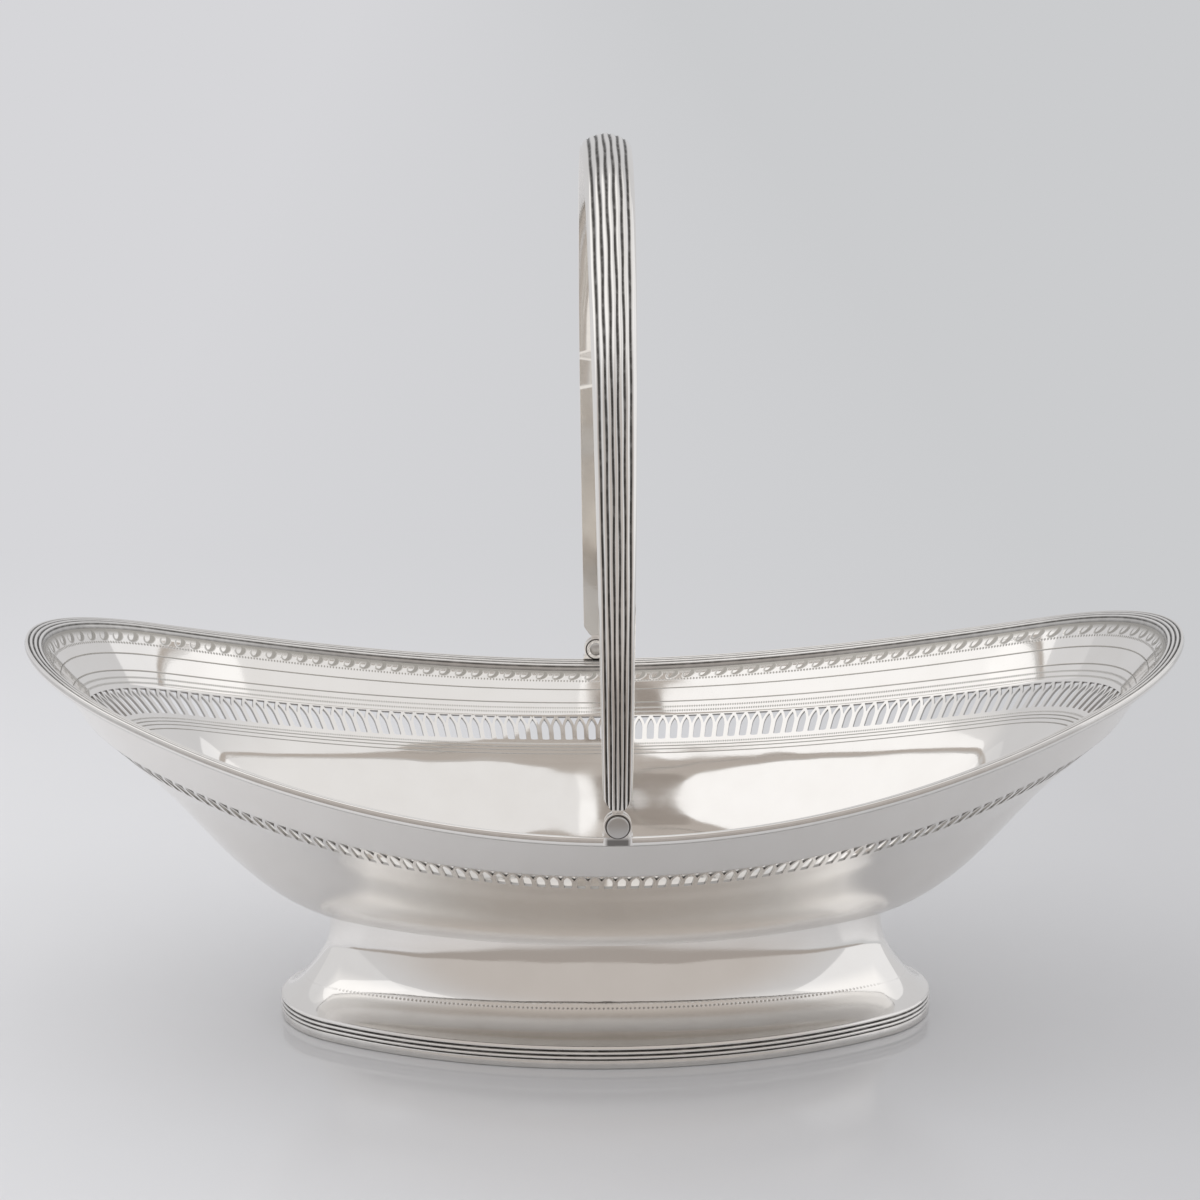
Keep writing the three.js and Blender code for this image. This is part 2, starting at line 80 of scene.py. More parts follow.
def oval_point(half_length, half_width, turn):
    """A point on a four-arc oval. Turn 0 is the right tip, and 0.25 is the middle of the far side."""
    tip_radius, side_radius = arc_radii(half_length, half_width)
    quarter = math.floor(turn * 4) % 4
    along = turn * 4 % 1
    share = 1 - along if quarter % 2 else along
    if share < tip_arc_share:
        angle = tip_arc_turn * share / tip_arc_share
        x = half_length - tip_radius + tip_radius * math.cos(angle)
        y = tip_radius * math.sin(angle)
    else:
        side_share = (share - tip_arc_share) / (1 - tip_arc_share)
        angle = tip_arc_turn + (math.pi / 2 - tip_arc_turn) * side_share
        x = side_radius * math.cos(angle)
        y = half_width - side_radius + side_radius * math.sin(angle)
    return (-x if quarter in (1, 2) else x), (-y if quarter in (2, 3) else y)


def level_point(half_length, half_width, mid_height, tip_height, turn, power=rim_power):
    """A point on a line that goes round the basket and rises from its middle to its tips."""
    x, y = oval_point(half_length, half_width, turn)
    lift = abs(x / half_length) ** power
    return Vector((x, y, mid_height + (tip_height - mid_height) * lift))


def rim_point(line, turn, power=rim_power):
    """A point on one of the bowl's lines."""
    inset, mid_fall, tip_fall = line
    return level_point(rim_half_length - inset, rim_half_width - inset,
                       rim_mid_height - mid_fall, rim_tip_height - tip_fall, turn, power)


def slot_turn(slots):
    """The turn at which a number of slots has gone by, evenly spaced along the pierced band."""
    tip_radius, side_radius = arc_radii(band_half_length, band_half_width)
    tip = tip_radius * tip_arc_turn
    side = side_radius * (math.pi / 2 - tip_arc_turn)
    tip_part = tip / (tip + side)
    quarters = slots / slot_count * 4
    started = math.floor(quarters)
    along = quarters - started
    way = 1 - along if started % 2 else along
    if way < tip_part:
        share = tip_arc_share * way / tip_part
    else:
        share = tip_arc_share + (1 - tip_arc_share) * (way - tip_part) / (1 - tip_part)
    return (started + (1 - share if started % 2 else share)) / 4


def well_point(turn, share):
    """The well sweeps from the shoulder to the foot joint, with its belly low."""
    top = rim_point(bowl_shoulder, turn, wall_power)
    bottom = level_point(joint_half_length, joint_half_width, foot_height, foot_height, turn)
    out = top - bottom
    run = math.hypot(out.x, out.y)
    belly = Vector((out.x * out.z / run, out.y * out.z / run, -run))
    high = top.lerp(bottom, 1 / 3)
    low = top.lerp(bottom, 2 / 3) + belly * well_belly
    rest = 1 - share
    return (top * rest ** 3 + high * 3 * rest ** 2 * share
            + low * 3 * rest * share ** 2 + bottom * share ** 3)


def bowl_point(turn, level):
    """Levels: 0 edge, 1 lip, 2 and 3 the slots' top and foot, 4 shoulder, 5 joint, 6 floor, 7 centre."""
    if level > 4:
        if level <= 5:
            return well_point(turn, level - 4)
        joint = level_point(joint_half_length, joint_half_width, foot_height, foot_height, turn)
        flat = level_point(joint_half_length - floor_inset, joint_half_width - floor_inset,
                           foot_height - floor_fall, foot_height - floor_fall, turn)
        if level <= 6:
            return joint.lerp(flat, level - 5)
        return flat.lerp(Vector((0, 0, foot_height - floor_fall)), level - 6)
    lines = [(bowl_edge, rim_power), (bowl_lip, rim_power), (slots_top, wall_power),
             (slots_foot, wall_power), (bowl_shoulder, wall_power)]
    above = min(int(level), 3)
    top = rim_point(lines[above][0], turn, lines[above][1])
    bottom = rim_point(lines[above + 1][0], turn, lines[above + 1][1])
    return top.lerp(bottom, level - above)


def pick(*pieces):
    """Selects these objects alone and makes the first one active, for the operators that follow."""
    bpy.ops.object.select_all(action="DESELECT")
    for piece in pieces:
        piece.select_set(True)
    bpy.context.view_layer.objects.active = pieces[0]


def new_piece(name, mesh):
    """A picked object that holds the mesh."""
    piece = bpy.data.objects.new(name, mesh)
    bpy.context.collection.objects.link(piece)
    pick(piece)
    return piece


def flat_sheet(across, rows):
    """A flat sheet to be rolled up: X from 0 to 1 in equal steps, Y at the row numbers."""
    bpy.ops.mesh.primitive_grid_add(x_subdivisions=across, y_subdivisions=len(rows) - 1, size=1)
    sheet = bpy.context.object
    for vertex in sheet.data.vertices:
        row = round((vertex.co.y + 0.5) * (len(rows) - 1))
        vertex.co = (vertex.co.x + 0.5, rows[row], 0)
    return sheet


def roll_up(sheet, name, place, closed=True):
    """Keeps the flat sheet's X and Y as its UV map, puts each point in its place and closes the seams.
    The flat sheet's face ends up inside, so an open sheet is turned over."""
    sheet.name = name
    sheet.data.name = name
    mesh = sheet.data
    while mesh.uv_layers:
        mesh.uv_layers.remove(mesh.uv_layers[0])
    flat_map = mesh.uv_layers.new(name="flat").data
    for corner in mesh.loops:
        flat_map[corner.index].uv = mesh.vertices[corner.vertex_index].co.xy
    for vertex in mesh.vertices:
        vertex.co = place(vertex.co.x, vertex.co.y) * mm
    pick(sheet)
    bpy.ops.object.mode_set(mode="EDIT")
    bpy.ops.mesh.select_all(action="SELECT")
    bpy.ops.mesh.remove_doubles(threshold=0.01 * mm)
    if closed:
        bpy.ops.mesh.normals_make_consistent(inside=False)
    else:
        bpy.ops.mesh.flip_normals()
    bpy.ops.object.mode_set(mode="OBJECT")


def linear(hex_colour):
    """An sRGB hex colour as the linear colour that a shader takes."""
    parts = [int(hex_colour[place:place + 2], 16) / 255 for place in (1, 3, 5)]
    return [c / 12.92 if c <= 0.04045 else ((c + 0.055) / 1.055) ** 2.4 for c in parts] + [1]


def add_node(tree, kind, inputs=(), **settings):
    """Adds a node, sets its settings, and gives each named input a value or a link."""
    node = tree.nodes.new(kind)
    for name, value in settings.items():
        setattr(node, name, value)
    for name, value in dict(inputs).items():
        if isinstance(value, bpy.types.NodeSocket):
            tree.links.new(value, node.inputs[name])
        else:
            node.inputs[name].default_value = value
    return node


# The silver: what hammering, buffing and handling leave on it, in mm, and how rough each finish is
hammer_mark = 35
hammer_depth = 0.38
hairline_pitch = 0.4
hairline_stretch = 20
hairline_depth = 0.0015
handling_bloom = 12
bloom_range = (0.35, 0.75)
silver_white = "#FAF8F5"
silver_warm = "#F3F0EC"
# The dark grey of painted shade, used by the fittings and the pins
painted_shade_grey = "#5A5754"
mirror_roughness = 0.035
bloom_roughness = 0.035
worn_roughness = 0.19
sawn_roughness = 0.3
tarnish_roughness = 0.45
sawn_grey = "#4A4743"
sawn_tarnish = 0.5


def polished_silver(name, hollows_and_shade=None, dark=painted_shade_grey, darkness=1, depth=0,
                    roughness=mirror_roughness):
    """Sterling silver, hammered, stoned and buffed: a warm white mirror that wavers a little, with fine
    hairlines. hollows_and_shade gives a share of 0 to 1 of darkening toward the dark grey: grey sulphide
    where a tool has cut in, and painted shade and painted dark reflection where a piece's function gives
    them."""
    material = bpy.data.materials.new(name)
    material.use_nodes = True
    tree = material.node_tree
    tree.nodes.clear()
    place = add_node(tree, "ShaderNodeTexCoord").outputs["Object"]
    # Wide, shallow hammer marks, which stoning didn't take out
    waver = add_node(tree, "ShaderNodeTexNoise", {
        "Vector": place, "Scale": 1 / (hammer_mark * mm), "Detail": 1})
    # Buffing hairlines along X, drawn as coarse as they need to be to show
    hairs = add_node(tree, "ShaderNodeMapping", {"Vector": place, "Scale": (1 / hairline_stretch, 1, 1)})
    hairline = add_node(tree, "ShaderNodeTexNoise", {
        "Vector": hairs.outputs["Vector"], "Scale": 1 / (hairline_pitch * mm), "Detail": 2})
    # A faint bloom of handling
    bloom = add_node(tree, "ShaderNodeTexNoise", {
        "Vector": place, "Scale": 1 / (handling_bloom * mm), "Detail": 4})
    rough = add_node(tree, "ShaderNodeMapRange", {
        "Value": bloom.outputs["Fac"], "From Min": bloom_range[0], "From Max": bloom_range[1],
        "To Min": roughness, "To Max": roughness + bloom_roughness}).outputs["Result"]
    colour = add_node(tree, "ShaderNodeMix", {
        "Factor": bloom.outputs["Fac"], "A": linear(silver_white), "B": linear(silver_warm)},
        data_type="RGBA").outputs["Result"]
    bump = add_node(tree, "ShaderNodeBump", {
        "Height": waver.outputs["Fac"], "Distance": hammer_depth * mm, "Strength": 1})
    bump = add_node(tree, "ShaderNodeBump", {
        "Height": hairline.outputs["Fac"], "Normal": bump.outputs["Normal"],
        "Distance": hairline_depth * mm, "Strength": 1})
    if hollows_and_shade:
        share = hollows_and_shade(tree)
        dull = add_node(tree, "ShaderNodeMath", {0: share, 1: darkness}, operation="MULTIPLY")
        colour = add_node(tree, "ShaderNodeMix", {
            "Factor": dull.outputs["Value"], "A": colour, "B": linear(dark)},
            data_type="RGBA").outputs["Result"]
        rough = add_node(tree, "ShaderNodeMix", {
            "Factor": dull.outputs["Value"], "A": rough, "B": tarnish_roughness}).outputs["Result"]
        if depth:
            bump = add_node(tree, "ShaderNodeBump", {
                "Height": share, "Normal": bump.outputs["Normal"], "Distance": depth * mm,
                "Strength": 1}, invert=True)
    shader = add_node(tree, "ShaderNodeBsdfPrincipled", {
        "Base Color": colour, "Metallic": 1, "Roughness": rough, "Normal": bump.outputs["Normal"]})
    add_node(tree, "ShaderNodeOutputMaterial", {"Surface": shader.outputs["BSDF"]})
    return material


# The graver's work by its level down the wall: lines, rows of dots (how many, level, height), and leaves
# (middle level, share of the pitch wide, levels high). A core is the share of a mark that is at full depth.
upper_lines = (1.41, 1.71)
upper_line_reach = 0.013
lower_lines = (3.35, 3.62, 3.95)
lower_line_reach = 0.045
dot_rows = [(1000, 3.1, 0.16), (800, 1.22, 0.05), (1000, 1.83, 0.045), (1000, 1.92, 0.045)]
dot_share = 0.75
mark_core = 0.4
leaf_count = 152
leaf_core = 0.75
leaf_shape = (1.1, 0.8, 0.22)
leaf_heart_shape = (1.09, 0.36, 0.17)
leaf_lean = 0.011
leaf_heart_nudge = 0.0008
# Painted shade under the border's wire: the levels where it is full and where it has faded out
rim_wire_painted_shade = (1.02, 1.1)
engraving_and_shade_grey = "#7E796D"
engraving_and_shade_darkness = 0.65
engraving_depth = 0.1


def near_line(tree, height, centre, reach):
    """1 where a value is near the centre, and 0 from the line's reach away."""
    off = add_node(tree, "ShaderNodeMath", {0: height, 1: centre}, operation="SUBTRACT")
    away = add_node(tree, "ShaderNodeMath", {0: off.outputs["Value"]}, operation="ABSOLUTE")
    return add_node(tree, "ShaderNodeMapRange", {
        "Value": away.outputs["Value"], "From Min": reach * mark_core, "From Max": reach,
        "To Min": 1, "To Max": 0}).outputs["Result"]


def round_marks(tree, around, height, count, middle, mark_width, mark_height):
    """Distance from the middle of the nearest of a row of oval marks: 1 at a mark's edge. Around goes
    from 0 to 1, the count is for the whole way round, and a mark's width is a share of its pitch."""
    marks = add_node(tree, "ShaderNodeMath", {0: around, 1: count}, operation="MULTIPLY")
    share = add_node(tree, "ShaderNodeMath", {0: marks.outputs["Value"]}, operation="FRACT")
    across = add_node(tree, "ShaderNodeMath", {0: share.outputs["Value"], 1: 0.5}, operation="SUBTRACT")
    down = add_node(tree, "ShaderNodeMath", {0: height, 1: middle}, operation="SUBTRACT")
    spot = add_node(tree, "ShaderNodeCombineXYZ", {
        "X": across.outputs["Value"], "Y": down.outputs["Value"]})
    scaled = add_node(tree, "ShaderNodeVectorMath", {
        0: spot.outputs["Vector"], 1: (2 / mark_width, 2 / mark_height, 0)}, operation="MULTIPLY")
    return add_node(tree, "ShaderNodeVectorMath", {0: scaled.outputs["Vector"]},
                    operation="LENGTH").outputs["Value"]


def row_of_dots(tree, around, height, count, middle, mark_height):
    """A row of punched dots, with a plain gap of a quarter of the pitch between them."""
    away = round_marks(tree, around, height, count, middle, dot_share, mark_height)
    return add_node(tree, "ShaderNodeMapRange", {
        "Value": away, "From Min": mark_core, "From Max": 1, "To Min": 1, "To Max": 0}).outputs["Result"]


def flat_axes(tree):
    """Across and down on the flat sheet, before it was rolled up."""
    flat = add_node(tree, "ShaderNodeUVMap", uv_map="flat")
    axes = add_node(tree, "ShaderNodeSeparateXYZ", {"Vector": flat.outputs["UV"]})
    return axes.outputs["X"], axes.outputs["Y"]


def deepest(tree, marks):
    """Where marks cross, the deeper one shows."""
    cut = marks[0]
    for mark in marks[1:]:
        cut = add_node(tree, "ShaderNodeMath", {0: cut, 1: mark}, operation="MAXIMUM").outputs["Value"]
    return cut


def leaf_mark(tree, around, height, shape):
    """1 inside each of a row of ovals, one for each leaf."""
    away = round_marks(tree, around, height, leaf_count, *shape)
    return add_node(tree, "ShaderNodeMapRange", {
        "Value": away, "From Min": leaf_core, "From Max": 1, "To Min": 1, "To Max": 0}).outputs["Result"]


def bright_cutting(tree):
    """The graver's work inside the wall: leaves that hang from the border, fine lines and dots, and a band
    of painted shade close under the border's wire. Down the wall, 1 mm is about 0.055 of a level above the
    slots and 0.2 of one below them."""
    around, level = flat_axes(tree)
    marks = [near_line(tree, level, line, upper_line_reach) for line in upper_lines]
    marks += [near_line(tree, level, line, lower_line_reach) for line in lower_lines]
    for count, middle, mark_height in dot_rows:
        marks.append(row_of_dots(tree, around, level, count, middle, mark_height))
    # The leaves are 6 mm apart and lean over: each is a dark crescent round a light heart
    lean = add_node(tree, "ShaderNodeMath", {0: level, 1: -leaf_lean, 2: around}, operation="MULTIPLY_ADD")
    leaf = leaf_mark(tree, lean.outputs["Value"], level, leaf_shape)
    nudged = add_node(tree, "ShaderNodeMath", {0: lean.outputs["Value"], 1: -leaf_heart_nudge},
                      operation="ADD")
    heart = leaf_mark(tree, nudged.outputs["Value"], level, leaf_heart_shape)
    marks.append(add_node(tree, "ShaderNodeMath", {0: leaf, 1: heart}, operation="SUBTRACT",
                          use_clamp=True).outputs["Value"])
    # Painted shade: a band of the wall close under the border's wire is darkened
    marks.append(add_node(tree, "ShaderNodeMapRange", {
        "Value": level, "From Min": rim_wire_painted_shade[0], "From Max": rim_wire_painted_shade[1],
        "To Min": 1, "To Max": 0}).outputs["Result"])
    return deepest(tree, marks)


# Half of one slot and its neighbour's corner, drawn flat: across in slots, down in shares of the band.
# A pointed slot lies on the left, and half of the small triangle between two heads on the right.
half_cell_points = [
    (0, 0), (0.5, 0), (0.13, 0.05), (0.5, 0.05), (0.34, 0.2), (0.5, 0.36),
    (0, 0.14), (0.17, 0.25), (0.27, 0.36), (0.31, 0.47), (0.5, 0.47),
    (0.31, 0.84), (0.5, 0.84), (0.27, 0.88), (0, 0.89), (0, 1), (0.5, 1),
]
half_cell_faces = [
    (0, 1, 3, 2), (0, 2, 6), (6, 2, 4, 7), (7, 4, 5, 8), (8, 5, 10, 9),
    (9, 10, 12, 11), (11, 12, 16, 13), (13, 16, 15, 14),
]
fret = bpy.data.meshes.new("fret")
fret.from_pydata([(x, 2 + y, 0) for x, y in half_cell_points], [], half_cell_faces)
pierced = new_piece("pierced", fret)
mirror = pierced.modifiers.new("other half", "MIRROR")
bpy.ops.object.modifier_apply(modifier=mirror.name)
repeat = pierced.modifiers.new("slots", "ARRAY")
repeat.count = slot_count
repeat.use_relative_offset = False
repeat.use_constant_offset = True
repeat.constant_offset_displace = (1, 0, 0)
repeat.use_merge_vertices = True
bpy.ops.object.modifier_apply(modifier=repeat.name)
for vertex in pierced.data.vertices:
    vertex.co.x = (vertex.co.x + 0.5) / slot_count

# The plain sheet above and below the slots, in rows of points by level: close together at each bend
wall_rows = [0, 0.5, 1, 1.03, 1.2, 1.4, 1.6, 1.8, 1.95, 2]
well_rows = [3, 3.1, 3.35, 3.65, 3.9, 4] + [4 + row / well_steps for row in range(1, well_steps)]
well_rows += [4.985, 5, 5.03, 5.2, 5.6, 5.9, 6, 6.1, 6.4, 6.7, 7]
wall = flat_sheet(slot_count * 2, wall_rows)
well = flat_sheet(slot_count * 2, well_rows)
pick(wall, well, pierced)
bpy.ops.object.join()
bowl = wall
roll_up(bowl, "raised_bowl", lambda across, level: bowl_point(slot_turn(across * slot_count), level),
        closed=False)
# The first material is the outside's: hands and cloths have worn it to a softer shine than the inside
bowl.data.materials.append(polished_silver("polished_silver_sheet", roughness=worn_roughness))
# The inside's material carries the engraving and a band of painted shade under the rim wire
bowl.data.materials.append(polished_silver(
    "bright_cut_silver_sheet", hollows_and_shade=bright_cutting, dark=engraving_and_shade_grey,
    darkness=engraving_and_shade_darkness, depth=engraving_depth))
# The slots' walls are as the saw left them, and tarnish stays there
bowl.data.materials.append(polished_silver(
    "sawn_silver_edges", hollows_and_shade=lambda tree: sawn_tarnish, dark=sawn_grey, roughness=sawn_roughness))
thick = bowl.modifiers.new("sheet", "SOLIDIFY")
thick.thickness = sheet_thickness * mm
thick.offset = -1
thick.use_even_offset = True
thick.material_offset = 1
thick.material_offset_rim = 2
bpy.ops.object.modifier_apply(modifier=thick.name)
bpy.ops.object.shade_smooth_by_angle(angle=bowl_crease)
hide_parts("bowl")
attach(bowl, "basket")

# Rim border
# A reeded wire of silver is soldered over the sheet's edge all round. Its reeds were drawn in with the
# wire, and dark tarnish stays between them where the polishing cloth can't reach.
rim_width = 5.6
rim_reeds = 4
rim_reed_depth = 0.5
rim_dome = 1.5
rim_inner_edge = 0.9
rim_rounding = 0.3
rim_steps = 640
reed_crease = math.radians(50)
# The grey that the grooves' tarnish and the painted shade and reflection on the wire's faces mix toward
rim_groove_and_shade_grey = "#4E4C49"
darkening_patch = 3
patch_range = (0.3, 0.6)
darkening_spread = (0.85, 1.05)
# The wire's outer face and its underside: inset and fall from the rim's line, and how much it is darkened:
# tarnish at the seam with the sheet, painted dark reflection higher up the outer face, painted shade
# underneath
rim_outer_face = [(1, 2.8, 1), (0.55, 2.68, 0.5), (0.22, 2.3, 0.1), (0.05, 1.85, 0), (0, 1.5, 0.15),
                  (0.07, 0.95, 0.3)]
rim_underside = [(6.05, 3.38, 0.8), (1.35, 1.2, 1), (1, 1.9, 1), (1, 2.8, 1)]
# Across one reed: share of its width, share of the groove's depth, and how tarnished it is
reed_shape = [(0, 1, 1), (0.1, 0.9, 1), (0.2, 0.45, 0.6), (0.32, 0.12, 0), (0.5, 0, 0),
              (0.68, 0.12, 0), (0.8, 0.45, 0.6), (0.9, 0.9, 1)]


def rim_section():
    """The wire's section: up its outer face, in over its domed reeds and back under it."""
    section = list(rim_outer_face)
    reed_width = rim_width / rim_reeds
    for reed in range(rim_reeds):
        for share, deep, darkening in reed_shape:
            inset = (reed + share) * reed_width
            open_side = reed == 0 and share < 0.5
            section.append((max(inset, rim_rounding) if open_side else inset,
                            rim_dome * (inset / rim_width) ** 2 + rim_reed_depth * deep,
                            0 if open_side else darkening))
    # The inner edge is darkened as painted shade, more so lower down
    section.append((rim_width, rim_dome + rim_inner_edge, 0.3))
    return section + rim_underside


def section_darkening(tree):
    """Darkening where a section says so, broken up a little: sulphide that polishing leaves in the grooves,
    and painted shade and painted dark reflection where a wire's section gives them.
    """
    kept = add_node(tree, "ShaderNodeAttribute", attribute_name="darkening").outputs["Fac"]
    place = add_node(tree, "ShaderNodeTexCoord").outputs["Object"]
    patches = add_node(tree, "ShaderNodeTexNoise", {
        "Vector": place, "Scale": 1 / (darkening_patch * mm), "Detail": 3})
    share = add_node(tree, "ShaderNodeMapRange", {
        "Value": patches.outputs["Fac"], "From Min": patch_range[0], "From Max": patch_range[1],
        "To Min": darkening_spread[0], "To Max": darkening_spread[1]})
    return add_node(tree, "ShaderNodeMath", {0: kept, 1: share.outputs["Result"]},
                    operation="MULTIPLY", use_clamp=True).outputs["Value"]


def wrap_section(name, around, section, place):
    """A reeded piece: its section is drawn down a flat sheet, which is then rolled up."""
    piece = flat_sheet(around, list(range(len(section))))
    share = piece.data.attributes.new("darkening", "FLOAT", "POINT")
    for vertex in piece.data.vertices:
        share.data[vertex.index].value = section[round(vertex.co.y)][2]
    roll_up(piece, name, lambda along, row: place(along, section[round(row)]))
    return piece


rim_border = wrap_section("reeded_rim_wire", rim_steps, rim_section(),
                          lambda turn, point: rim_point((point[0], point[1], point[1]), turn))
bpy.ops.object.shade_smooth_by_angle(angle=reed_crease)
rim_border.data.materials.append(polished_silver(
    "reeded_silver_wire", hollows_and_shade=section_darkening, dark=rim_groove_and_shade_grey))
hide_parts("rim_border")
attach(rim_border, "basket")

# Foot
# The foot is a separate collar of silver sheet, raised to a flare and soldered under the bowl. A fine
# line of dots is punched round it, above the reeded edge.
foot_sheet = 1
neck_inset = 1
neck_height = 26
tip_sweep = (0.08, 0.65)
side_sweep = (0.06, 0.32)
sweep_heights = (20, 9.5)
flange_half_length = 105.2
flange_half_width = 61
flange_height = 7.4
flare_rows = 24
foot_steps = 320
foot_crease = math.radians(40)
tip_flare = 2.0
tip_hollow = 1.7
side_flare = 1.6
side_hollow = 0.37
# The line of dots and the painted dark reflection below it, by row down the flare
foot_dot_count = 420
foot_dot_row = 0.545
foot_dot_swings = 2
foot_dot_dip = 0.055
foot_dot_height = 0.035
foot_dot_and_shade_grey = "#8A847B"
foot_dot_and_shade_darkness = 0.7
foot_dot_depth = 0.08
painted_reflection_top = 0.55
painted_reflection_full = 0.63
painted_reflection_share = 0.4
# Both are whole along the sides, where the swing is -1, and fade to a trace at the tips, where it is 1: the
# dots are worn there, and the painted reflection fades with them
tip_fade_start = -0.2
tip_fade_end = 0.5
tip_trace = 0.1


def foot_plan(tip_share, side_share, height, turn, tip_outset=0, side_outset=0):
    """A level line of the foot: share 0 is the neck's plan and share 1 the flange's."""
    neck_length = joint_half_length - neck_inset
    neck_width = joint_half_width - neck_inset
    return level_point(neck_length + (flange_half_length - neck_length) * tip_share + tip_outset,
                       neck_width + (flange_half_width - neck_width) * side_share + side_outset,
                       height, height, turn)


def foot_point(turn, row):
    """Rows: -1 is the joint with the bowl, 0 the neck's foot, and 1 the flange. The sides stay steep for
    longer than the tips and flare more sharply."""
    if row < 0:
        return foot_plan(0, 0, neck_height - (foot_height - neck_height) * row, turn,
                         tip_flare * row + tip_hollow * row * row,
                         side_flare * row + side_hollow * row * row)
    rest = 1 - row
    high, low = 3 * rest ** 2 * row, 3 * rest * row ** 2
    tip_share = tip_sweep[0] * high + tip_sweep[1] * low + row ** 3
    side_share = side_sweep[0] * high + side_sweep[1] * low + row ** 3
    height = (neck_height * rest ** 3 + sweep_heights[0] * high
              + sweep_heights[1] * low + flange_height * row ** 3)
    return foot_plan(tip_share, side_share, height, turn)


def foot_dots(tree):
    """The line of dots lies lower at the tips than along the sides. Below it the flare is darkened with a
    painted dark reflection of the bowl's outer wall. Polishing has worn the dots at the tips, and the
    painted reflection fades there with them."""
    around, row = flat_axes(tree)
    turned = add_node(tree, "ShaderNodeMath", {0: around, 1: foot_dot_swings * 2 * math.pi},
                      operation="MULTIPLY")
    swing = add_node(tree, "ShaderNodeMath", {0: turned.outputs["Value"]}, operation="COSINE")
    level = add_node(tree, "ShaderNodeMath", {0: swing.outputs["Value"], 1: -foot_dot_dip, 2: row},
                     operation="MULTIPLY_ADD").outputs["Value"]
    dots = row_of_dots(tree, around, level, foot_dot_count, foot_dot_row, foot_dot_height)
    # Painted dark reflection: the flare below the dots is darkened
    film = add_node(tree, "ShaderNodeMapRange", {
        "Value": level, "From Min": painted_reflection_top, "From Max": painted_reflection_full, "To Min": 0, "To Max": painted_reflection_share})
    tip_fade = add_node(tree, "ShaderNodeMapRange", {
        "Value": swing.outputs["Value"], "From Min": tip_fade_start, "From Max": tip_fade_end,
        "To Min": 1, "To Max": tip_trace})
    return add_node(tree, "ShaderNodeMath", {
        0: deepest(tree, [dots, film.outputs["Result"]]), 1: tip_fade.outputs["Result"]},
        operation="MULTIPLY").outputs["Value"]


foot_rows = [-1, -0.95, -0.75, -0.5, -0.25] + [row / flare_rows for row in range(flare_rows + 1)]
foot = flat_sheet(foot_steps, foot_rows)
roll_up(foot, "flared_foot", foot_point, closed=False)
thick = foot.modifiers.new("sheet", "SOLIDIFY")
thick.thickness = foot_sheet * mm
thick.offset = -1
bpy.ops.object.modifier_apply(modifier=thick.name)
bpy.ops.object.shade_smooth_by_angle(angle=foot_crease)
foot.data.materials.append(polished_silver(
    "punched_silver_foot", hollows_and_shade=foot_dots, dark=foot_dot_and_shade_grey, darkness=foot_dot_and_shade_darkness,
    depth=foot_dot_depth))
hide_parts("foot")
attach(foot, "basket")

# Foot border
# A reeded wire stiffens the foot's edge. It has three reeds over a plain band, stands flat on the table
# and is soldered under the flange.
foot_reeds = 3
foot_reed_pitch = 1.47
foot_reed_depth = 0.6
foot_border_width = 2.4
foot_border_top = 0.3
foot_border_rounding = 0.35
foot_band_outset = 0.55
# How much the plain band is darkened, and the grey that the grooves' tarnish and the painted shade under
# the wire mix toward
foot_band_darkening = 0.2
foot_groove_and_shade_grey = "#484644"


def foot_border_section():
    """The wire's section: outset from the flange, height, and how much each point is darkened: sulphide in
    the grooves, and painted shade on the wire's foot and back.
    """
    section = [(foot_border_top, flange_height, 0)]
    for reed in range(foot_reeds):
        for share, deep, darkening in reed_shape[1:] + [(1, 1, 1)]:
            open_side = reed == 0 and share < 0.5
            outset = foot_reed_depth * (1 - deep)
            section.append((max(outset, foot_border_rounding) if open_side else outset,
                            flange_height - (reed + share) * foot_reed_pitch,
                            0 if open_side else darkening))
    # The plain band under the reeds, darkened a little, its rounded foot, and back behind the wire, which
    # carry painted shade
    band_top = flange_height - foot_reeds * foot_reed_pitch
    section += [(foot_border_rounding, band_top - 0.25, 0.3),
                (foot_band_outset, band_top - 0.7, foot_band_darkening),
                (foot_band_outset, 0.9, foot_band_darkening), (0.4, 0.35, foot_band_darkening), (0.05, 0, 0.5),
                (-foot_border_width, 0, 1), (-foot_border_width, flange_height, 1),
                (foot_border_top, flange_height, 0)]
    return section


foot_border = wrap_section("reeded_foot_wire", foot_steps, foot_border_section(),
                           lambda turn, point: foot_plan(1, 1, point[1], turn, point[0], point[0]))
bpy.ops.object.shade_smooth_by_angle(angle=reed_crease)
foot_border.data.materials.append(polished_silver(
    "reeded_foot_silver", hollows_and_shade=section_darkening, dark=foot_groove_and_shade_grey))
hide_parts("foot_border")
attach(foot_border, "basket")

# Handle
# The handle is one strap, flat inside and domed outside, bent to half an ellipse, with its ends filed to
# a taper. Seven reeds run along it and waver a little, with black tarnish in the grooves between them.
crown_height = 285.3
strap_foot = 98.9
hinge_centre = 115.35
strap_end_width = 8.7
strap_crown_width = 15.7
strap_tip_width = 4.2
strap_chamfer = 3.2
strap_edge = 0.9
strap_dome = 0.2
strap_reeds = 7
strap_groove = 0.5
strap_shoulder = 1.2
strap_inner_share = 0.96
strap_waver = 0.012
waver_waves = [(47, 5), (113, -9)]
chamfer_depth = 0.5
inner_film = 0.09
strap_groove_grey = "#565451"
strap_steps = 240
strap_end_steps = 4


